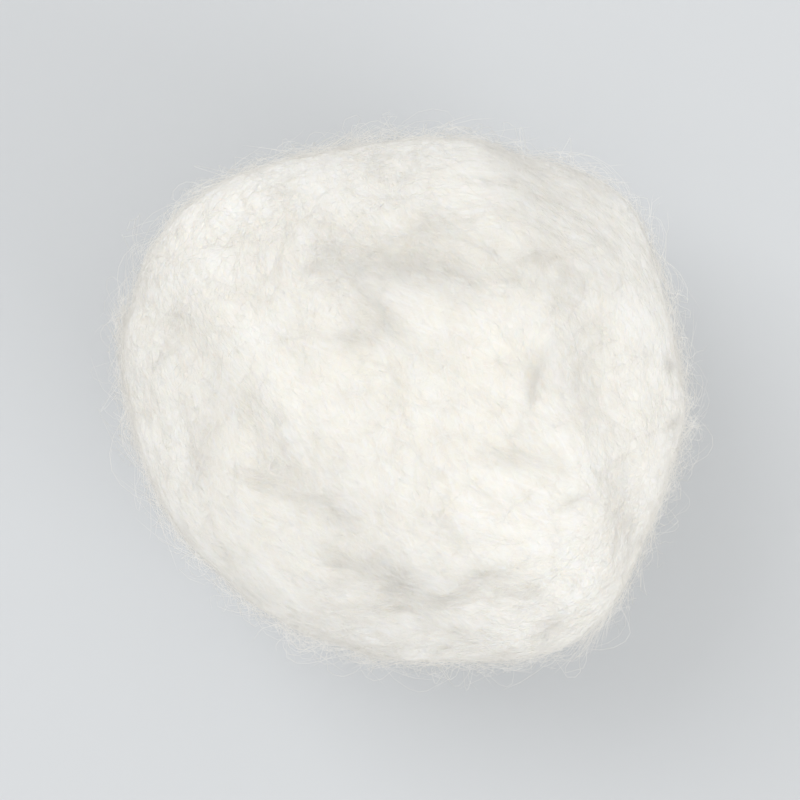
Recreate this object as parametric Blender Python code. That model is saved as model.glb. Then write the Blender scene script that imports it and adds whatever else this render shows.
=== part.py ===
"""A cotton ball: one soft piece, a short length of cotton sliver rolled up on itself.

The ball lies on its own flat spot, with +Z up. +X runs along its width and +Y along its depth,
as it is seen from above. The origin is under the middle of the ball, on the surface it lies on.
"""

import math
from collections import namedtuple

import bmesh
import bpy
import numpy as np
from mathutils import Vector

# Driving dimensions, in metres
WIDTH = 0.0370
DEPTH = 0.0345
HEIGHT = 0.0325
SETTLE = 0.0009  # how far the underside is pressed flat where the ball lies

# The core is a rounded block, between an ellipsoid at a power of 2 and a box
CORE_POWER = 2.12

# The sliver is rolled about an axis that lies level, turned this far from +X, in degrees
ROLL_TURN = 24.0

# A billow is a soft swelling, or a hollow where its rise is below zero.
# Azimuth, elevation and spread are in degrees, and rise is in metres.
Billow = namedtuple("Billow", "azimuth elevation spread rise")
BILLOWS = (
    Billow(azimuth=142, elevation=8, spread=26, rise=0.0016),
    Billow(azimuth=44, elevation=4, spread=25, rise=0.0022),
    Billow(azimuth=-58, elevation=-4, spread=20, rise=0.0012),
    Billow(azimuth=-12, elevation=6, spread=22, rise=-0.0009),
    Billow(azimuth=-124, elevation=4, spread=25, rise=-0.0013),
    Billow(azimuth=178, elevation=-20, spread=22, rise=0.0008),
    Billow(azimuth=205, elevation=52, spread=21, rise=0.0008),
    Billow(azimuth=-30, elevation=58, spread=20, rise=0.0009),
    Billow(azimuth=100, elevation=74, spread=17, rise=0.0006),
    Billow(azimuth=250, elevation=-30, spread=22, rise=0.0009),
    Billow(azimuth=70, elevation=-34, spread=20, rise=0.0008),
)

# A lap is where one turn of the roll lies over the next. Its edge runs round the roll axis from
# start to end while its latitude, counted from the roll's middle, goes from first to last, and
# bow is how far the middle of the run stands off a straight one. These are in degrees. Step is
# how far the upper turn stands above the lower one, below zero where the upper turn is on the low
# side, and reach is how far the step takes to fade, both in metres.
Lap = namedtuple("Lap", "start end first last bow step reach")
LAPS = (
    Lap(start=-35, end=185, first=-40, last=2, bow=-9, step=0.0010, reach=0.0050),
    Lap(start=35, end=205, first=48, last=26, bow=-7, step=-0.0008, reach=0.0042),
    Lap(start=170, end=335, first=-8, last=-44, bow=8, step=0.0009, reach=0.0045),
    Lap(start=-85, end=55, first=20, last=40, bow=9, step=-0.0008, reach=0.0042),
)
LAP_EDGE = 0.0015  # half the width of the slope down from the upper turn
LAP_CREASE = 0.26  # depth of the crease at its foot, as a share of the step

# The tail is the sliver's torn end, which is laid down across the turns, along the roll axis
TAIL_TURN = 60.0
TAIL_SLANT = 0.45
TAIL_MIDDLE = 12.0
TAIL_SPREAD = 16.0
TAIL_STEP = 0.0008
TAIL_REACH = 0.0045

# The two ends of the roll draw in to a dimple, and the turns come round it as a swirl
DIMPLE_DEPTH = 0.0014
DIMPLE_SPREAD = 15.0
SWIRL_RISE = 0.0004
SWIRL_ARMS = 2
SWIRL_TWIST = 2.6
SWIRL_MIDDLE = 28.0
SWIRL_SPREAD = 12.0

# The mesh is a globe with its poles on the roll axis. Points this close to the cut that presses
# the underside flat are moved onto it, so that the rim has no splinters.
SEGMENTS = 92
RINGS = 48
RIM_SNAP = 0.00005

COTTON_COLOUR = (0.930, 0.915, 0.870, 1.0)
COTTON_ROUGHNESS = 0.95


def clear_scene():
    for item in list(bpy.data.objects):
        bpy.data.objects.remove(item, do_unlink=True)


def cotton():
    """Bleached cotton: matt, and a little warmer than white."""
    material = bpy.data.materials.new("cotton")
    material.use_nodes = True
    shader = material.node_tree.nodes["Principled BSDF"]
    shader.inputs["Base Color"].default_value = COTTON_COLOUR
    shader.inputs["Roughness"].default_value = COTTON_ROUGHNESS
    shader.inputs["Metallic"].default_value = 0.0
    material.diffuse_color = COTTON_COLOUR
    return material


def direction_of(azimuth, elevation):
    """The unit vector at an azimuth from +X and an elevation from the level, both in degrees."""
    turn, rise = math.radians(azimuth), math.radians(elevation)
    return np.array([math.cos(turn) * math.cos(rise), math.sin(turn) * math.cos(rise), math.sin(rise)])


def bell(distance, spread):
    """One at no distance, falling off as a bell curve of that spread."""
    return np.exp(-0.5 * (distance / spread) ** 2)


def roll_coordinates(directions):
    """The turn round the roll axis and the latitude from the roll's middle, in radians."""
    axis = direction_of(ROLL_TURN, 0.0)
    side = direction_of(ROLL_TURN + 90.0, 0.0)
    around = np.arctan2(directions[:, 2], directions @ side)
    latitude = np.arcsin(np.clip(directions @ axis, -1.0, 1.0))
    return around, latitude


def core_radius(directions):
    """The rounded block: each half size divides its own coordinate, and the powers add up to one."""
    half = np.array([WIDTH, DEPTH, HEIGHT + SETTLE]) / 2
    return (np.abs(directions / half) ** CORE_POWER).sum(axis=1) ** (-1 / CORE_POWER)


def billow_rise(directions):
    """The sum of all billows, each a bell over the angle from its own direction."""
    rise = np.zeros(len(directions))
    for billow in BILLOWS:
        middle = direction_of(billow.azimuth, billow.elevation)
        angle = np.arccos(np.clip(directions @ middle, -1.0, 1.0))
        rise += billow.rise * bell(angle, math.radians(billow.spread))
    return rise


def step_across(across, step, reach):
    """The section of a laid edge: up half a step on one side and down half on the other, fading
    within its reach, with a crease along the foot of the slope."""
    upper_side = math.copysign(1.0, step)
    slope = np.tanh(across / LAP_EDGE) * bell(across, reach)
    crease = bell(across + upper_side * LAP_EDGE, LAP_EDGE)
    return step / 2 * slope - abs(step) * LAP_CREASE * crease


def lap_rise(around, latitude, radius):
    """The sum of all laps. Each fades in and out along its run, as the root of a half sine."""
    rise = np.zeros(len(around))
    for lap in LAPS:
        start, end = math.radians(lap.start), math.radians(lap.end)
        along = np.clip(((around - start) % math.tau) / (end - start), 0.0, 1.0)
        swing = np.sin(math.pi * along)
        line = np.radians(lap.first + (lap.last - lap.first) * along + lap.bow * swing)
        across = (latitude - line) * radius
        rise += np.sqrt(swing) * step_across(across, lap.step, lap.reach)
    return rise


def tail_rise(around, latitude, radius):
    """The torn end: a laid edge along the roll axis, slanted a little, fading towards both ends."""
    line = math.radians(TAIL_TURN) + TAIL_SLANT * latitude
    turn = (around - line + math.pi) % math.tau - math.pi
    across = turn * np.cos(latitude) * radius
    fade = bell(latitude - math.radians(TAIL_MIDDLE), math.radians(TAIL_SPREAD))
    return fade * step_across(across, TAIL_STEP, TAIL_REACH)


def end_rise(around, latitude):
    """The dimple at each end of the roll, and the swirl of the turns round it."""
    from_end = math.pi / 2 - np.abs(latitude)
    dimple = -DIMPLE_DEPTH * bell(from_end, math.radians(DIMPLE_SPREAD))
    ring = bell(from_end - math.radians(SWIRL_MIDDLE), math.radians(SWIRL_SPREAD))
    arms = np.sin(SWIRL_ARMS * (around + SWIRL_TWIST * from_end * np.sign(latitude)))
    return dimple + SWIRL_RISE * ring * arms


def ball_radius(directions):
    """How far the ball's surface lies from its middle in each direction, in metres."""
    around, latitude = roll_coordinates(directions)
    core = core_radius(directions)
    rolled = lap_rise(around, latitude, core) + tail_rise(around, latitude, core)
    return core + billow_rise(directions) + rolled + end_rise(around, latitude)


def fit_to_size(places):
    """Brings the shape to its full width, depth and height, which the billows have altered."""
    low, high = places.min(axis=0), places.max(axis=0)
    full = np.array([WIDTH, DEPTH, HEIGHT + SETTLE])
    return (places - (low + high) / 2) * full / (high - low)


def shape_ball(mesh):
    """Moves the globe's points out to the ball's surface."""
    directions = np.array([vertex.co.normalized() for vertex in mesh.verts])
    places = fit_to_size(directions * ball_radius(directions)[:, None])
    for vertex, place in zip(mesh.verts, places):
        vertex.co = Vector(place)


def press_flat(mesh):
    """Cuts the underside level at the depth that it has settled, and closes it with one flat face."""
    lowest = min(vertex.co.z for vertex in mesh.verts)
    cut = bmesh.ops.bisect_plane(
        mesh,
        geom=mesh.verts[:] + mesh.edges[:] + mesh.faces[:],
        plane_co=(0.0, 0.0, lowest + SETTLE),
        plane_no=(0.0, 0.0, -1.0),
        dist=RIM_SNAP,
        use_snap_center=True,
        clear_outer=True,
    )
    rim = [piece for piece in cut["geom_cut"] if isinstance(piece, bmesh.types.BMEdge)]
    bmesh.ops.contextual_create(mesh, geom=rim)
    bmesh.ops.translate(mesh, verts=mesh.verts, vec=(0.0, 0.0, -lowest - SETTLE))


def build_cotton_ball(collection):
    """The whole ball, one solid."""
    mesh = bmesh.new()
    bmesh.ops.create_uvsphere(mesh, u_segments=SEGMENTS, v_segments=RINGS, radius=1.0)
    axis = Vector(direction_of(ROLL_TURN, 0.0))
    poles_to_axis = Vector((0.0, 0.0, 1.0)).rotation_difference(axis).to_matrix()
    bmesh.ops.rotate(mesh, cent=(0.0, 0.0, 0.0), matrix=poles_to_axis, verts=mesh.verts)
    shape_ball(mesh)
    press_flat(mesh)
    bmesh.ops.recalc_face_normals(mesh, faces=mesh.faces)
    data = bpy.data.meshes.new("cotton_ball")
    mesh.to_mesh(data)
    mesh.free()
    data.shade_smooth()
    data.materials.append(cotton())
    ball = bpy.data.objects.new("cotton_ball", data)
    collection.objects.link(ball)


def main():
    clear_scene()
    collection = bpy.data.collections.new("Cotton ball")
    bpy.context.scene.collection.children.link(collection)
    build_cotton_ball(collection)


main()
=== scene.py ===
"""A cotton ball lying on a pale table, seen from straight above in soft light."""

import itertools
import math
from collections import namedtuple

import bpy
import numpy as np
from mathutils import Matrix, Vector


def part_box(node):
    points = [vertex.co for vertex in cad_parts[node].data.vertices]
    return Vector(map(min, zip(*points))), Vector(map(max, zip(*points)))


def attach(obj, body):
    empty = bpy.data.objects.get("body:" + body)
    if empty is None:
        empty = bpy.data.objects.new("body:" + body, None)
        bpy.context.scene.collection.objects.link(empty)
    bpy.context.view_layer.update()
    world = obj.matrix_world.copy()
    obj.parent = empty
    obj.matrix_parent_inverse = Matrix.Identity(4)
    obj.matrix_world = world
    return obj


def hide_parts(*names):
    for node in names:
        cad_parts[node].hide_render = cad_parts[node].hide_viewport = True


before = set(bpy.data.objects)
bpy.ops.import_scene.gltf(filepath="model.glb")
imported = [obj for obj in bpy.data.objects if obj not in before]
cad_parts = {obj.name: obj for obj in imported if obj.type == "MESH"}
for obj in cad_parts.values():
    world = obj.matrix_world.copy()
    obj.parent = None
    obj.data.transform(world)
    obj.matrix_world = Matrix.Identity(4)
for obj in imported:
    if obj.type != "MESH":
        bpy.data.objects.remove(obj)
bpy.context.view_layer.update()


# The rolled ball. The real one is a length of carded cotton sliver, torn off and rolled up on
# itself by machine. It is loose fibre all through: where a turn lies over the next there is a soft
# step, the torn end is laid down across the turns, and the underside is pressed where it lies.

# The form is the solid's own, worked out again on a finer grid. Its core is a rounded block,
# between an ellipsoid at a power of 2 and a box. Lengths are in metres, as everywhere below.
node_low, node_high = (np.array(corner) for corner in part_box("cotton_ball"))
WIDTH, DEPTH, HEIGHT = node_high - node_low
SETTLE = 0.0009  # how far the underside is pressed flat where the ball lies
CORE_POWER = 2.12
ROLL_TURN = 24.0  # the roll axis lies level, turned this far from +X, in degrees
MEAN_RADIUS = (WIDTH + DEPTH + HEIGHT) / 6
COLUMNS = 320
ROWS = 176

# A billow is a soft swelling, or a hollow where its rise is below zero. Its azimuth, elevation and
# spread are in degrees.
Billow = namedtuple("Billow", "azimuth elevation spread rise")
BILLOWS = (
    Billow(azimuth=142, elevation=8, spread=26, rise=0.0016),
    Billow(azimuth=44, elevation=4, spread=25, rise=0.0022),
    Billow(azimuth=-58, elevation=-4, spread=20, rise=0.0012),
    Billow(azimuth=-12, elevation=6, spread=22, rise=-0.0009),
    Billow(azimuth=-124, elevation=4, spread=25, rise=-0.0013),
    Billow(azimuth=178, elevation=-20, spread=22, rise=0.0008),
    Billow(azimuth=205, elevation=52, spread=21, rise=0.0008),
    Billow(azimuth=-30, elevation=58, spread=20, rise=0.0009),
    Billow(azimuth=100, elevation=74, spread=17, rise=0.0006),
    Billow(azimuth=250, elevation=-30, spread=22, rise=0.0009),
    Billow(azimuth=70, elevation=-34, spread=20, rise=0.0008),
)

# A lap is where one turn of the roll lies over the next. Its edge runs round the roll axis from
# start to end while its latitude goes from first to last, and bow is how far the middle of the run
# stands off a straight one, all in degrees. Step is how far the upper turn stands above the lower
# one, below zero where the upper turn is on the low side, and reach is how far the step takes to
# fade.
Lap = namedtuple("Lap", "start end first last bow step reach")
LAPS = (
    Lap(start=-35, end=185, first=-40, last=2, bow=-9, step=0.0010, reach=0.0050),
    Lap(start=35, end=205, first=48, last=26, bow=-7, step=-0.0008, reach=0.0042),
    Lap(start=170, end=335, first=-8, last=-44, bow=8, step=0.0009, reach=0.0045),
    Lap(start=-85, end=55, first=20, last=40, bow=9, step=-0.0008, reach=0.0042),
)
LAP_EDGE = 0.0015  # half the width of the slope down from the upper turn
LAP_CREASE = 0.26  # depth of the crease at its foot, as a share of the step

# The torn end lies along the roll axis. Its turn, middle and spread are in degrees.
TAIL_TURN = 60.0
TAIL_SLANT = 0.45
TAIL_MIDDLE = 12.0
TAIL_SPREAD = 16.0
TAIL_STEP = 0.0008
TAIL_REACH = 0.0045

# The two ends of the roll draw in to a dimple, and the turns come round it as a swirl. Spreads, and
# the swirl's middle, are in degrees from the end.
DIMPLE_DEPTH = 0.0014
DIMPLE_SPREAD = 15.0
SWIRL_RISE = 0.0004
SWIRL_ARMS = 2
SWIRL_TWIST = 2.6
SWIRL_MIDDLE = 28.0
SWIRL_SPREAD = 12.0

# The loose surface is made of noises. Each has a cell size, a seed, and a reach, which is how far it
# lifts the surface or shifts a pattern along it.
Noise = namedtuple("Noise", "cell reach seed")
NOISE_SIDE = 48  # how many cells it is before a noise repeats
SWELLS = Noise(cell=0.0105, reach=0.00030, seed=25)
PUFFS = Noise(cell=0.0068, reach=0.00046, seed=21)
PUFF_SHIFT = Noise(cell=0.0060, reach=(0.0012, -0.0010, 0.0011), seed=5)
PUFF_FLOOR = 0.12  # rounds the creases between the puffs
PUFF_MIDDLE = 0.55  # the height that leaves the surface where it is
LUMPS = Noise(cell=0.0024, reach=0.00012, seed=22)
STREAKS = Noise(cell=0.00080, reach=0.00004, seed=23)
CROSSING_STREAKS = STREAKS._replace(seed=24)
STREAK_STRETCH = 9.0  # how much longer than wide the streaks are
WANDER = Noise(cell=0.0095, reach=0.0032, seed=11)
CROSS_TURN = 42.0  # the second run of fibres is rolled about an axis turned this much further

# Painted light and shade: the fine streaks that stand up are painted in the lit colour, and the gaps
# between them in the darker one as painted shade, patchily through a random mottle
COTTON_LIT = (0.962, 0.945, 0.905, 1.0)
COTTON_GAP_SHADE = (0.915, 0.890, 0.835, 1.0)
# Painted shade: a warmer, darker colour painted into the creases between the puffs, where shade falls
COTTON_CREASE_SHADE = (0.930, 0.900, 0.835, 1.0)
CREASE_SHADE_SHARE = 0.4  # how much of that painted shade a crease takes at most
CREASE_SHADE_TOP = 0.62  # the puff height below which it starts
CREASE_SHADE_FADE = 0.25  # how far below that height it is full
STRAND_CELL = 0.00026
STRAND_RANGE = (0.40, 0.68)
STRAND_HEIGHT = 0.00009
MOTTLE_CELL = 0.0035
PALE_RANGE = (0.10, 0.50)
COTTON_SHADER = {
    "Roughness": 1.0,
    "Specular IOR Level": 0.1,
    "Subsurface Weight": 0.75,
    "Subsurface Radius": (1.0, 0.9, 0.75),
    "Subsurface Scale": 0.0030,
    "Sheen Weight": 0.35,
    "Sheen Roughness": 0.6,
}
MIX_FIRST, MIX_SECOND, MIX_RESULT = 6, 7, 2  # the colour sockets of a Mix node


def direction_of(azimuth, elevation):
    """The unit vector at an azimuth from +X and an elevation from the level, both in degrees."""
    turn, rise = math.radians(azimuth), math.radians(elevation)
    return np.array([math.cos(turn) * math.cos(rise), math.sin(turn) * math.cos(rise), math.sin(rise)])


def unit(vectors):
    """Each row divided by its own length."""
    return vectors / np.linalg.norm(vectors, axis=-1, keepdims=True)


def bell(distance, spread):
    """One at no distance, falling off as a bell curve of that spread."""
    return np.exp(-0.5 * (distance / spread) ** 2)


def soft_noise(points, noise):
    """From -1 to 1: random numbers at the corners of cubes of the noise's cell size, blended between
    them by the cube's own coordinates, each eased at both ends."""
    lattice = np.random.default_rng(noise.seed).uniform(-1.0, 1.0, (NOISE_SIDE,) * 3)
    scaled = points / noise.cell
    base = np.floor(scaled)
    share = scaled - base
    share = share * share * (3 - 2 * share)
    base = base.astype(int)
    total = np.zeros(len(points))
    for corner in itertools.product((0, 1), repeat=3):
        weight = np.where(corner, share, 1 - share).prod(axis=1)
        total += weight * lattice[tuple(((base + corner) % NOISE_SIDE).T)]
    return total


def roll_coordinates(directions, roll_turn=ROLL_TURN):
    """The turn round the roll axis and the latitude from the roll's middle, in radians."""
    around = np.arctan2(directions[:, 2], directions @ direction_of(roll_turn + 90.0, 0.0))
    latitude = np.arcsin(np.clip(directions @ direction_of(roll_turn, 0.0), -1.0, 1.0))
    return around, latitude


def roll_directions(around, latitude):
    """The unit vectors at those turns and latitudes on the roll."""
    return (
        np.outer(np.sin(latitude), direction_of(ROLL_TURN, 0.0))
        + np.outer(np.cos(latitude) * np.cos(around), direction_of(ROLL_TURN + 90.0, 0.0))
        + np.outer(np.cos(latitude) * np.sin(around), direction_of(0.0, 90.0))
    )


def core_radius(directions):
    """The rounded block: each half size divides its own coordinate, and the powers add up to one."""
    half = np.array([WIDTH, DEPTH, HEIGHT + SETTLE]) / 2
    return (np.abs(directions / half) ** CORE_POWER).sum(axis=1) ** (-1 / CORE_POWER)


def billow_rise(directions):
    """The sum of all billows, each a bell over the angle from its own direction."""
    rise = np.zeros(len(directions))
    for billow in BILLOWS:
        middle = direction_of(billow.azimuth, billow.elevation)
        angle = np.arccos(np.clip(directions @ middle, -1.0, 1.0))
        rise += billow.rise * bell(angle, math.radians(billow.spread))
    return rise


def step_across(across, step, reach):
    """The section of a laid edge: up half a step on one side and down half on the other, fading
    within its reach, with a crease along the foot of the slope."""
    upper_side = math.copysign(1.0, step)
    slope = np.tanh(across / LAP_EDGE) * bell(across, reach)
    crease = bell(across + upper_side * LAP_EDGE, LAP_EDGE)
    return step / 2 * slope - abs(step) * LAP_CREASE * crease


def lap_line(lap, along):
    """The latitude of a lap's edge at each share of its run."""
    bow = lap.bow * np.sin(math.pi * along)
    return np.radians(lap.first + (lap.last - lap.first) * along + bow)


def lap_rise(around, latitude, radius):
    """The sum of all laps. Each fades in and out along its run, as the root of a half sine."""
    rise = np.zeros(len(around))
    for lap in LAPS:
        start, end = math.radians(lap.start), math.radians(lap.end)
        along = np.clip(((around - start) % math.tau) / (end - start), 0.0, 1.0)
        across = (latitude - lap_line(lap, along)) * radius
        rise += np.sqrt(np.sin(math.pi * along)) * step_across(across, lap.step, lap.reach)
    return rise


def tail_line(latitude):
    """The turn round the roll axis at which the torn end lies, slanted a little with the latitude."""
    return math.radians(TAIL_TURN) + TAIL_SLANT * latitude


def tail_rise(around, latitude, radius):
    """The torn end: a laid edge along its line, fading towards both ends."""
    turn = (around - tail_line(latitude) + math.pi) % math.tau - math.pi
    across = turn * np.cos(latitude) * radius
    fade = bell(latitude - math.radians(TAIL_MIDDLE), math.radians(TAIL_SPREAD))
    return fade * step_across(across, TAIL_STEP, TAIL_REACH)


def end_rise(around, latitude):
    """The dimple at each end of the roll, and the swirl of the turns round it."""
    from_end = math.pi / 2 - np.abs(latitude)
    dimple = -DIMPLE_DEPTH * bell(from_end, math.radians(DIMPLE_SPREAD))
    ring = bell(from_end - math.radians(SWIRL_MIDDLE), math.radians(SWIRL_SPREAD))
    arms = np.sin(SWIRL_ARMS * (around + SWIRL_TWIST * from_end * np.sign(latitude)))
    return dimple + SWIRL_RISE * ring * arms


def form_radius(directions):
    """How far the ball's smooth form lies from its middle in each direction."""
    around, latitude = roll_coordinates(directions)
    core = core_radius(directions)
    rolled = lap_rise(around, latitude, core) + tail_rise(around, latitude, core)
    return core + billow_rise(directions) + rolled + end_rise(around, latitude)


def fibre_level(directions, roll_turn=ROLL_TURN):
    """Which fibre a point lies on: its latitude on the roll in metres, moved by a slow wander. The
    fibres run along the lines on which this level stays the same."""
    _, latitude = roll_coordinates(directions, roll_turn)
    return MEAN_RADIUS * latitude + WANDER.reach * soft_noise(directions * MEAN_RADIUS, WANDER)


def fibre_run(directions, roll_turn=ROLL_TURN):
    """A point's place in metres, counted in fibres: its level across them, and its place on the
    circle round the roll, shortened by the stretch, so that a pattern on it is drawn out along the
    fibres. The circle shrinks to a point at each end of the roll."""
    around, latitude = roll_coordinates(directions, roll_turn)
    level = fibre_level(directions, roll_turn)
    circle = MEAN_RADIUS * np.cos(latitude) / STREAK_STRETCH
    return np.column_stack([level, circle * np.cos(around), circle * np.sin(around)])


def puff_height(directions):
    """From about 0.35 in a crease to about 1 on a puff: the root of a noise's size over a floor,
    which is least where the noise crosses zero, on places that another noise has shifted."""
    places = directions * MEAN_RADIUS
    drawn = places + np.outer(soft_noise(places, PUFF_SHIFT), PUFF_SHIFT.reach)
    return np.sqrt(np.abs(soft_noise(drawn, PUFFS)) + PUFF_FLOOR)


def relief(directions):
    """The loose surface: broad swells, puffs with creases between them, lumps, and streaks of both
    runs of fibres."""
    places = directions * MEAN_RADIUS
    swells = SWELLS.reach * soft_noise(places, SWELLS)
    puffs = PUFFS.reach * (puff_height(directions) - PUFF_MIDDLE)
    lumps = LUMPS.reach * soft_noise(places, LUMPS)
    streaks = soft_noise(fibre_run(directions), STREAKS)
    crossing = soft_noise(fibre_run(directions, ROLL_TURN + CROSS_TURN), CROSSING_STREAKS)
    return swells + puffs + lumps + STREAKS.reach * (streaks + crossing)


def ball_grid():
    """Directions from the ball's middle over a globe whose poles are the two ends of the roll: all
    columns of each row, then the pole at the low end and the one at the high end."""
    around = np.linspace(-math.pi, math.pi, COLUMNS, endpoint=False)
    latitude = np.linspace(-math.pi / 2, math.pi / 2, ROWS + 2)[1:-1]
    latitude, around = (grid.ravel() for grid in np.meshgrid(latitude, around, indexing="ij"))
    roll_end = direction_of(ROLL_TURN, 0.0)
    return np.vstack([roll_directions(around, latitude), -roll_end, roll_end])


def grid_faces():
    """A four-cornered face between each two rows and columns, and a fan of triangles at each pole."""
    corner = np.arange(ROWS * COLUMNS).reshape(ROWS, COLUMNS)
    beside = np.roll(corner, -1, axis=1)
    quads = np.stack([corner[:-1], beside[:-1], beside[1:], corner[1:]], axis=-1).reshape(-1, 4)
    low_pole, high_pole = ROWS * COLUMNS, ROWS * COLUMNS + 1
    low_fan = np.column_stack([beside[0], corner[0], np.full(COLUMNS, low_pole)])
    high_fan = np.column_stack([corner[-1], beside[-1], np.full(COLUMNS, high_pole)])
    return quads.tolist() + low_fan.tolist() + high_fan.tolist()


ball_directions = ball_grid()
smooth_places = ball_directions * form_radius(ball_directions)[:, None]
form_low, form_high = smooth_places.min(axis=0), smooth_places.max(axis=0)
form_middle = (form_low + form_high) / 2
form_stretch = np.array([WIDTH, DEPTH, HEIGHT + SETTLE]) / (form_high - form_low)


def on_ball(directions, proud):
    """Places at a height over the ball's loose surface: the form's radius, the relief and the height
    together along each direction, brought to the ball's full size, and never below the table."""
    radius = form_radius(directions) + relief(directions) + proud
    places = (directions * radius[:, None] - form_middle) * form_stretch
    places[:, 2] = np.maximum(places[:, 2] + (HEIGHT - SETTLE) / 2, 0.0)
    return places


def add_piece(name, places, faces, material):
    """A smooth-shaded mesh that rides on the ball's body and stands for its solid."""
    mesh = bpy.data.meshes.new(name)
    mesh.from_pydata(places, [], faces)
    mesh.shade_smooth()
    mesh.materials.append(material)
    piece = bpy.data.objects.new(name, mesh)
    bpy.context.scene.collection.objects.link(piece)
    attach(piece, "root")
    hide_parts("cotton_ball")
    return piece


def add_vectors(piece, name, values):
    """Keeps one vector for each point of a piece, for its material to read."""
    vectors = piece.data.attributes.new(name, "FLOAT_VECTOR", "POINT")
    vectors.data.foreach_set("vector", values.astype(np.float32).ravel())


def add_numbers(piece, name, values):
    """Keeps one number for each point of a piece, for its material to read."""
    numbers = piece.data.attributes.new(name, "FLOAT", "POINT")
    numbers.data.foreach_set("value", values.astype(np.float32))


def new_material(name, settings):
    """A material with those settings on its shader, its node tree and the shader."""
    material = bpy.data.materials.new(name)
    material.use_nodes = True
    tree = material.node_tree
    shader = tree.nodes["Principled BSDF"]
    for socket, value in settings.items():
        shader.inputs[socket].default_value = value
    return material, tree, shader


def read_attribute(tree, name, output):
    """An attribute of the piece, as a vector or as a number."""
    node = tree.nodes.new("ShaderNodeAttribute")
    node.attribute_name = name
    return node.outputs[output]


def add_noise(tree, vector, cell, detail):
    """A noise texture whose pattern repeats about once in each cell."""
    noise = tree.nodes.new("ShaderNodeTexNoise")
    noise.inputs["Scale"].default_value = 1 / cell
    noise.inputs["Detail"].default_value = detail
    tree.links.new(vector, noise.inputs["Vector"])
    return noise.outputs["Fac"]


def add_range(tree, value, low, high):
    """From 0 where the value is at its low to 1 where it is at its high."""
    span = tree.nodes.new("ShaderNodeMapRange")
    span.inputs["From Min"].default_value = low
    span.inputs["From Max"].default_value = high
    tree.links.new(value, span.inputs["Value"])
    return span.outputs["Result"]


def add_math(tree, operation, first, second):
    """One operation on two values, each from a socket."""
    node = tree.nodes.new("ShaderNodeMath")
    node.operation = operation
    tree.links.new(first, node.inputs[0])
    tree.links.new(second, node.inputs[1])
    return node.outputs["Value"]


def add_mix(tree, share, colour, other):
    """From the colour to the other one. The first may come from a socket."""
    mix = tree.nodes.new("ShaderNodeMix")
    mix.data_type = "RGBA"
    tree.links.new(share, mix.inputs["Factor"])
    if isinstance(colour, tuple):
        mix.inputs[MIX_FIRST].default_value = colour
    else:
        tree.links.new(colour, mix.inputs[MIX_FIRST])
    mix.inputs[MIX_SECOND].default_value = other
    return mix.outputs[MIX_RESULT]


def cotton_material():
    """Loose bleached fibre, with light and shade painted into its colour. Fine streaks of both runs stand
    up a little from what lies between them and are painted paler, as if lit, and the gaps between them
    darker, as painted shade, patchily through a random mottle. The creases between the puffs get a warmer,
    darker painted shade, and light scatters through it all."""
    material, tree, shader = new_material("loose_cotton", COTTON_SHADER)
    place = tree.nodes.new("ShaderNodeTexCoord").outputs["Object"]
    streaks = add_noise(tree, read_attribute(tree, "fibre_run", "Vector"), STRAND_CELL, detail=3.0)
    crossing = add_noise(tree, read_attribute(tree, "cross_run", "Vector"), STRAND_CELL, detail=3.0)
    strands = add_math(tree, "MAXIMUM", streaks, crossing)
    mottle = add_noise(tree, place, MOTTLE_CELL, detail=3.0)
    # Painted light and shade: paler, as if lit, where a streak stands up, darker between streaks, patchily
    # through a random mottle
    lit_share = add_math(tree, "MULTIPLY", add_range(tree, strands, *STRAND_RANGE), mottle)
    lit_share = add_range(tree, lit_share, *PALE_RANGE)
    colour = add_mix(tree, lit_share, COTTON_GAP_SHADE, COTTON_LIT)
    # Painted shade in the creases between the puffs
    colour = add_mix(tree, read_attribute(tree, "crease_shade", "Fac"), colour, COTTON_CREASE_SHADE)
    tree.links.new(colour, shader.inputs["Base Color"])
    bump = tree.nodes.new("ShaderNodeBump")
    bump.inputs["Distance"].default_value = STRAND_HEIGHT
    bump.inputs["Strength"].default_value = 1.0
    tree.links.new(strands, bump.inputs["Height"])
    tree.links.new(bump.outputs["Normal"], shader.inputs["Normal"])
    return material


ball = add_piece("rolled_ball", on_ball(ball_directions, 0.0), grid_faces(), cotton_material())
add_vectors(ball, "fibre_run", fibre_run(ball_directions))
add_vectors(ball, "cross_run", fibre_run(ball_directions, ROLL_TURN + CROSS_TURN))
# How deep each point lies in a crease, for the painted shade there
crease_shade_depth = (CREASE_SHADE_TOP - puff_height(ball_directions)) / CREASE_SHADE_FADE
add_numbers(ball, "crease_shade", CREASE_SHADE_SHARE * np.clip(crease_shade_depth, 0.0, 1.0))


# The fibres that lie on the ball. The real ones are the outermost of the sliver: cotton hairs a few
# centimetres long and a sixtieth of a millimetre thick, which follow the turns of the roll, cross
# each other and dive back under their neighbours. They are thin closed tubes, pointed at both ends.

SIDES = 3
FIRST_SIDE = (0.31, -0.52, 0.79)  # sets how a tube's section is turned. No fibre starts out along it.
LEAST_STEP = 1e-12  # keeps a tube's direction from a division by zero
PROBE = 0.002  # the step over which a slope is taken, as a share of the radius
TIGHTEST_BEND = 0.008  # the radius of the tightest curve in which a fibre follows its neighbours
CRIMP_WAVES = (1.0, 3.0)
SPARE_TRIES = 3  # random directions for each one that is wanted, because some are left out
ROOT_DEPTH = 0.00002  # how deep a lying fibre's ends are under the surface
LAID_LOWEST = -0.80
LAID_BEND, LAID_WAVE = 0.6, 0.35
LAID_RADIUS = (0.000006, 0.000013)

HAIR_COLOUR = (0.975, 0.964, 0.934, 1.0)
HAIR_DEEP = (0.945, 0.928, 0.888, 1.0)
TINT_CELL = 0.0030
HAIR_SHADER = {"Roughness": 0.85, "Specular IOR Level": 0.2, "Sheen Weight": 0.3}


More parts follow.
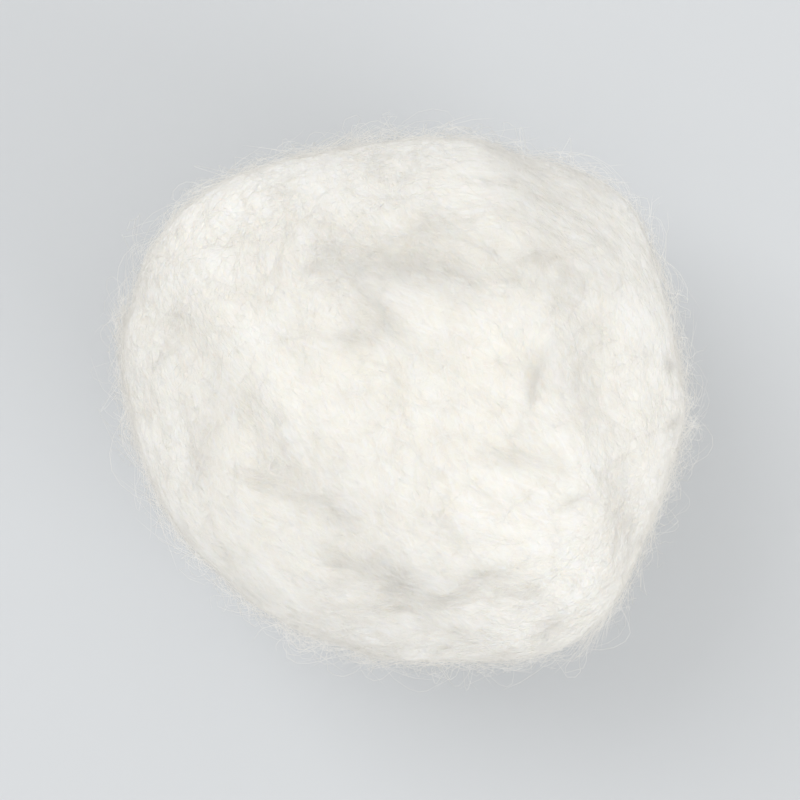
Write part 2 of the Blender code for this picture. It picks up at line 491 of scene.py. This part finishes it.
def fibre_heading(directions):
    """Unit vectors on the globe along the fibres that lie there: the level's slope is taken over a
    small step east and north on the roll, and the fibres run at right angles to it."""
    east = unit(np.cross(direction_of(ROLL_TURN, 0.0), directions))
    north = np.cross(directions, east)
    level = fibre_level(directions)
    slope_east = fibre_level(unit(directions + PROBE * east)) - level
    slope_north = fibre_level(unit(directions + PROBE * north)) - level
    return unit(east * slope_north[:, None] - north * slope_east[:, None])


def carried(vectors, directions):
    """Unit vectors brought along to other places on the globe, where they are laid level again."""
    return unit(vectors - (vectors * directions).sum(axis=1, keepdims=True) * directions)


def turned(vectors, directions, angle):
    """Level unit vectors turned by an angle about the direction that they stand at."""
    angle = angle[:, None]
    return np.cos(angle) * vectors + np.sin(angle) * np.cross(directions, vectors)


def fibre_paths(starts, length, heading, proud):
    """The paths of all fibres, one row each. Each leaves its start at its first heading, an angle to
    the fibres that lie there, and goes on in even steps. At each step it turns by the change in its
    heading, and with the run of those fibres, but no more tightly than a fibre bends. proud is its
    height over the ball at each step."""
    stride = length / (proud.shape[1] - 1)
    directions = starts
    along = fibre_heading(directions)
    course = turned(along, directions, heading[:, 0])
    path = [on_ball(directions, proud[:, 0])]
    for step in range(1, proud.shape[1]):
        directions = unit(directions + (stride / MEAN_RADIUS)[:, None] * course)
        course, former = carried(course, directions), carried(along, directions)
        along = fibre_heading(directions)
        sideways = (np.cross(former, along) * directions).sum(axis=1)
        run_turn = np.arctan2(sideways, (former * along).sum(axis=1))
        run_turn = (run_turn + math.pi / 2) % math.pi - math.pi / 2
        most_turn = stride / TIGHTEST_BEND
        turn = np.clip(run_turn, -most_turn, most_turn) + heading[:, step] - heading[:, step - 1]
        course = turned(course, directions, turn)
        path.append(on_ball(directions, proud[:, step]))
    return np.stack(path, axis=1)


def crimp(rng, count, shares, bend, wave):
    """How each fibre's heading changes along it: a bend that grows with its length, and the waves
    of its crimp, each a sine of its own size, count and phase."""
    waves = rng.uniform(*CRIMP_WAVES, count)[:, None]
    phase = rng.uniform(0.0, math.tau, count)[:, None]
    size = rng.normal(0.0, wave, count)[:, None]
    whole_bend = rng.normal(0.0, bend, count)[:, None]
    return whole_bend * shares + size * np.sin(math.tau * waves * shares + phase)


def arched(height, shares):
    """The height of each lying fibre over the surface along it: a half sine of its own height, with
    both ends just under the surface."""
    return height[:, None] * np.sin(math.pi * shares) - ROOT_DEPTH


def fibre_tubes(paths, radius):
    """Tubes along the paths, with a three-cornered section whose radius swells as the root of a half
    sine, and a single point at each end. The section is carried along each path without twisting,
    and no corner goes below the table."""
    count, points, _ = paths.shape
    tangent = unit(np.gradient(paths, axis=1) + LEAST_STEP)
    side = np.cross(tangent[:, 0], FIRST_SIDE)
    swell = np.sqrt(np.sin(np.linspace(0.0, math.pi, points)))
    rings = []
    for step in range(points):
        side = unit(side - (side * tangent[:, step]).sum(axis=1, keepdims=True) * tangent[:, step])
        other = np.cross(tangent[:, step], side)
        thick = (radius * swell[step])[:, None]
        for corner in range(SIDES):
            turn = math.tau * corner / SIDES
            rings.append(paths[:, step] + thick * (math.cos(turn) * side + math.sin(turn) * other))
    rings = np.stack(rings, axis=1).reshape(count, points, SIDES, 3)
    places = np.concatenate([paths[:, :1], rings[:, 1:-1].reshape(count, -1, 3), paths[:, -1:]], axis=1)
    places[:, :, 2] = np.maximum(places[:, :, 2], 0.0)
    return places.reshape(-1, 3), tube_faces(count, points)


def tube_faces(count, points):
    """The faces of all tubes: a fan of triangles at each tip, and rows of quads between the rings."""
    inner = points - 2
    each = 2 + inner * SIDES
    ring = 1 + np.arange(inner * SIDES).reshape(inner, SIDES)
    beside = np.roll(ring, -1, axis=1)
    quads = np.stack([ring[:-1], beside[:-1], beside[1:], ring[1:]], axis=-1).reshape(-1, 4)
    first_tip = np.column_stack([np.zeros(SIDES, int), beside[0], ring[0]])
    last_tip = np.column_stack([np.full(SIDES, each - 1), ring[-1], beside[-1]])
    offsets = each * np.arange(count)[:, None, None]
    tips = (np.vstack([first_tip, last_tip])[None] + offsets).reshape(-1, 3)
    return (quads[None] + offsets).reshape(-1, 4).tolist() + tips.tolist()


def random_directions(rng, count, lowest):
    """Even over the globe, without those that point further down than the lowest height, which is
    counted from -1 straight down to 1 straight up."""
    tries = unit(rng.normal(size=(count * SPARE_TRIES, 3)))
    return tries[tries[:, 2] > lowest][:count]


def hair_material():
    """Single cotton hairs: the same cotton, paler where a hair stands in the light by itself."""
    material, tree, shader = new_material("cotton_hairs", HAIR_SHADER)
    place = tree.nodes.new("ShaderNodeTexCoord").outputs["Object"]
    tint = add_mix(tree, add_noise(tree, place, TINT_CELL, detail=2.0), HAIR_DEEP, HAIR_COLOUR)
    tree.links.new(tint, shader.inputs["Base Color"])
    return material


def add_fibres(name, paths, radius):
    """One piece of fibres along those paths, of those radii."""
    places, faces = fibre_tubes(paths, radius)
    add_piece(name, places, faces, cotton_hairs)


def laid_fibres(count, seed, length_range, spread, arch, points):
    """Long fibres that arch over the surface, most by less than the mean arch and a few by much
    more, and dive under at both ends. spread is how far their headings stray from the run of the
    fibres under them."""
    rng = np.random.default_rng(seed)
    starts = random_directions(rng, count, LAID_LOWEST)
    length = rng.uniform(*length_range, count)
    shares = np.linspace(0.0, 1.0, points)
    heading = rng.normal(0.0, spread, count)[:, None] + crimp(rng, count, shares, LAID_BEND, LAID_WAVE)
    proud = arched(rng.exponential(arch, count), shares)
    return fibre_paths(starts, length, heading, proud), rng.uniform(*LAID_RADIUS, count)


cotton_hairs = hair_material()
along_the_turns = laid_fibres(3600, 101, length_range=(0.005, 0.014), spread=0.50, arch=0.00011, points=11)
across_the_turns = laid_fibres(3800, 102, length_range=(0.003, 0.009), spread=1.1, arch=0.00017, points=9)
add_fibres("laid_fibres", *along_the_turns)
add_fibres("crossing_fibres", *across_the_turns)


# The wisps at the laps. Where one turn ends on the next, the real sliver's edge isn't cut but
# carded thin, so its outermost hairs lie down over the step and lose themselves in the turn below.
# The torn end of the sliver is feathered in the same way.

WISP_LENGTH = (0.003, 0.008)
WISP_BEND, WISP_WAVE = 0.4, 0.3
WISP_RADIUS = (0.000006, 0.000012)
WISP_POINTS = 11
LAP_SHARE = (0.06, 0.94)  # the stretch of a lap's run that has wisps
LAP_SETBACK = 0.0022
LAP_SLANT = (0.25, 1.1)
LAP_ARCH = 0.0003
TAIL_SETBACK = 0.0025
TAIL_FAN = 0.35
TAIL_ARCH = 0.0004


def lap_fibres(each, seed):
    """Fibres that start on a lap's upper turn, cross its edge at a small angle and end below it,
    while they arch over the crease. Half of them run one way along the lap and half the other."""
    rng = np.random.default_rng(seed)
    shares = np.linspace(0.0, 1.0, WISP_POINTS)
    paths = []
    for lap in LAPS:
        along = rng.uniform(*LAP_SHARE, each)
        around = np.radians(lap.start + (lap.end - lap.start) * along)
        upper_side = math.copysign(1.0, lap.step)
        setback = upper_side * rng.uniform(0.0, LAP_SETBACK, each) / MEAN_RADIUS
        starts = roll_directions(around, lap_line(lap, along) + setback)
        slant = rng.uniform(*LAP_SLANT, each) * -upper_side
        slant = np.where(rng.random(each) < 0.5, slant, math.pi - slant)
        heading = slant[:, None] + crimp(rng, each, shares, WISP_BEND, WISP_WAVE)
        proud = arched(rng.uniform(0.0, LAP_ARCH, each), shares)
        paths.append(fibre_paths(starts, rng.uniform(*WISP_LENGTH, each), heading, proud))
    return np.concatenate(paths), rng.uniform(*WISP_RADIUS, each * len(LAPS))


def tail_fibres(count, seed):
    """Fibres that start a little back from the torn end, on its upper side, and run on past it
    against the turns' own sense, fanned out, while they arch over the crease."""
    rng = np.random.default_rng(seed)
    shares = np.linspace(0.0, 1.0, WISP_POINTS)
    latitude = np.radians(rng.normal(TAIL_MIDDLE, TAIL_SPREAD, count))
    setback = rng.uniform(0.0, TAIL_SETBACK, count) / MEAN_RADIUS
    starts = roll_directions(tail_line(latitude) + setback, latitude)
    fan = rng.normal(math.pi, TAIL_FAN, count)[:, None]
    heading = fan + crimp(rng, count, shares, WISP_BEND, WISP_WAVE)
    proud = arched(rng.uniform(0.0, TAIL_ARCH, count), shares)
    paths = fibre_paths(starts, rng.uniform(*WISP_LENGTH, count), heading, proud)
    return paths, rng.uniform(*WISP_RADIUS, count)


add_fibres("lap_fibres", *lap_fibres(each=280, seed=151))
add_fibres("tail_fibres", *tail_fibres(count=300, seed=152))


# The fuzz. The real ball has a haze of short ends and loops round it, where the carded hairs were
# torn or have sprung up. The hairs are crimped, so each one curls as it leaves the surface.

FUZZ_LOWEST = -0.72
FUZZ_BEND, FUZZ_WAVE = 2.2, 0.6
FUZZ_LEAST = 0.00012  # the height of the lowest hairs
FUZZ_ROOT = 0.00008
FUZZ_LOOPS = 0.45  # the share of the hairs that come back down
FUZZ_POWER = (0.7, 1.6)
FUZZ_RADIUS = (0.000007, 0.000012)


def fuzz_fibres(count, seed, tallest, length_range, points):
    """Short fibres that start just under the surface and curl. Some rise and fall as a half sine,
    and the others rise as a power of their length. Each one's height is the least one and a random
    rise, of a third of the tallest on average, cut off at the tallest."""
    rng = np.random.default_rng(seed)
    starts = random_directions(rng, count, FUZZ_LOWEST)
    length = rng.uniform(*length_range, count)
    shares = np.linspace(0.0, 1.0, points)
    first_heading = rng.uniform(-math.pi, math.pi, count)[:, None]
    heading = first_heading + crimp(rng, count, shares, FUZZ_BEND, FUZZ_WAVE)
    height = np.minimum(FUZZ_LEAST + rng.exponential(tallest / 3, count), tallest)[:, None]
    loops = rng.random(count)[:, None] < FUZZ_LOOPS
    rise = np.where(loops, np.sin(math.pi * shares), shares ** rng.uniform(*FUZZ_POWER, count)[:, None])
    proud = height * rise - FUZZ_ROOT
    return fibre_paths(starts, length, heading, proud), rng.uniform(*FUZZ_RADIUS, count)


short_hairs = fuzz_fibres(11000, 201, tallest=0.0014, length_range=(0.0012, 0.0034), points=5)
long_hairs = fuzz_fibres(4000, 202, tallest=0.0024, length_range=(0.0030, 0.0080), points=9)
add_fibres("short_fuzz", *short_hairs)
add_fibres("long_fuzz", *long_hairs)


# The tufts. Handling draws the real ball's outer fibres together into small soft points, each a
# few dozen hairs that lean the same way.

TUFT_LOWEST = -0.6
TUFT_BEND = 0.9
TUFT_LENGTH = (0.0035, 0.0065)
TUFT_HEIGHT = (0.0006, 0.0018)
TUFT_POWER = 1.4
TUFT_ROOT = 0.00006
TUFT_POINTS = 9
# How the hairs of one tuft differ: in where they start across and along it, in their length and
# height as shares of its own, and in their crimp
HAIRS_ACROSS, HAIRS_ALONG = 0.0006, 0.0008
HAIR_LENGTHS = (0.6, 1.1)
HAIR_HEIGHTS = (0.5, 1.1)
HAIR_BEND, HAIR_WAVE = 0.25, 0.3
HAIR_RADIUS = (0.000006, 0.000011)


def shift_on_ball(directions, angle, distance):
    """Each direction moved by a distance, at an angle to the fibres that lie there."""
    course = turned(fibre_heading(directions), directions, angle)
    return unit(directions + (distance / MEAN_RADIUS)[:, None] * course)


def tuft_fibres(tufts, each, seed):
    """The hairs of each tuft start side by side, come together as they run on and rise as a power of
    their length, all of them alike but for their own crimp."""
    rng = np.random.default_rng(seed)
    middles = np.repeat(random_directions(rng, tufts, TUFT_LOWEST), each, axis=0)
    lean = np.repeat(rng.uniform(-math.pi, math.pi, tufts), each)
    bend = np.repeat(rng.normal(0.0, TUFT_BEND, tufts), each)
    length = np.repeat(rng.uniform(*TUFT_LENGTH, tufts), each)
    height = np.repeat(rng.uniform(*TUFT_HEIGHT, tufts), each)
    count = tufts * each
    beside = rng.normal(0.0, HAIRS_ACROSS, count)
    starts = shift_on_ball(middles, lean + math.pi / 2, beside)
    starts = shift_on_ball(starts, lean, rng.normal(0.0, HAIRS_ALONG, count))
    length *= rng.uniform(*HAIR_LENGTHS, count)
    shares = np.linspace(0.0, 1.0, TUFT_POINTS)
    heading = (lean - np.arctan2(beside, length))[:, None] + bend[:, None] * shares
    heading += crimp(rng, count, shares, HAIR_BEND, HAIR_WAVE)
    proud = (height * rng.uniform(*HAIR_HEIGHTS, count))[:, None] * shares**TUFT_POWER - TUFT_ROOT
    return fibre_paths(starts, length, heading, proud), rng.uniform(*HAIR_RADIUS, count)


add_fibres("tufts", *tuft_fibres(tufts=40, each=40, seed=301))


# The table, the light and the camera. The table is a plain pale board, the light comes evenly from
# all round with two large soft lamps over it, and the camera looks straight down.

TABLE_HALF = 6.0
TABLE_DROP = 0.00002  # keeps the board just clear of the ball's flat spot
TABLE_SHADER = {
    "Base Color": (0.630, 0.650, 0.670, 1.0),
    "Roughness": 0.9,
    "Specular IOR Level": 0.1,
}

Lamp = namedtuple("Lamp", "name power place side")
LAMPS = (
    Lamp(name="key", power=2.2, place=(-0.40, 0.34, 0.60), side=0.50),
    Lamp(name="fill", power=2.0, place=(0.54, -0.42, 0.27), side=0.50),
)
SKY_COLOUR = (1.0, 0.995, 0.985, 1.0)
SKY_STRENGTH = 0.79
BACKDROP_COLOUR = (0.496, 0.510, 0.519, 1.0)  # as the far table renders, so that its edge doesn't show

LENS = 100.0
SENSOR = 36.0
FRAME_SHARE = 0.70
CLIP_START = 0.01


def add_table():
    """A square board, so wide that its edges lie close to the horizon."""
    square = ((-1, -1), (1, -1), (1, 1), (-1, 1))
    corners = [(x * TABLE_HALF, y * TABLE_HALF, -TABLE_DROP) for x, y in square]
    mesh = bpy.data.meshes.new("table")
    mesh.from_pydata(corners, [], [(0, 1, 2, 3)])
    material, _, _ = new_material("table", TABLE_SHADER)
    mesh.materials.append(material)
    table = bpy.data.objects.new("table", mesh)
    bpy.context.scene.collection.objects.link(table)


def add_lamp(lamp):
    """A square soft light that faces the middle of the ball."""
    light = bpy.data.lights.new(lamp.name, "AREA")
    light.energy = lamp.power
    light.size = lamp.side
    place = Vector(lamp.place)
    holder = bpy.data.objects.new(lamp.name, light)
    holder.location = place
    holder.rotation_euler = (Vector((0.0, 0.0, HEIGHT / 2)) - place).to_track_quat("-Z", "Y").to_euler()
    bpy.context.scene.collection.objects.link(holder)


def add_room():
    """Even light from all round. The camera and reflections see a backdrop there instead."""
    world = bpy.data.worlds.new("soft_room")
    world.use_nodes = True
    tree = world.node_tree
    sky = tree.nodes["Background"]
    sky.inputs["Color"].default_value = SKY_COLOUR
    sky.inputs["Strength"].default_value = SKY_STRENGTH
    backdrop = tree.nodes.new("ShaderNodeBackground")
    backdrop.inputs["Color"].default_value = BACKDROP_COLOUR
    rays = tree.nodes.new("ShaderNodeLightPath").outputs
    seen = add_math(tree, "MAXIMUM", rays["Is Camera Ray"], rays["Is Glossy Ray"])
    seen = add_math(tree, "MAXIMUM", seen, rays["Is Transmission Ray"])
    room = tree.nodes.new("ShaderNodeMixShader")
    share, lighting, view = room.inputs
    tree.links.new(seen, share)
    tree.links.new(sky.outputs["Background"], lighting)
    tree.links.new(backdrop.outputs["Background"], view)
    tree.links.new(room.outputs["Shader"], tree.nodes["World Output"].inputs["Surface"])
    bpy.context.scene.world = world


def add_camera():
    """Straight over the ball, at the height from which its width is its share of the picture."""
    camera = bpy.data.objects.new("camera", bpy.data.cameras.new("camera"))
    camera.data.lens = LENS
    camera.data.sensor_width = SENSOR
    distance = WIDTH / FRAME_SHARE * LENS / SENSOR
    camera.location = (0.0, 0.0, HEIGHT / 2 + distance)
    camera.data.clip_start = CLIP_START
    bpy.context.scene.collection.objects.link(camera)
    bpy.context.scene.camera = camera


add_table()
for lamp in LAMPS:
    add_lamp(lamp)
add_room()
add_camera()
bpy.context.scene.view_settings.view_transform = "Standard"
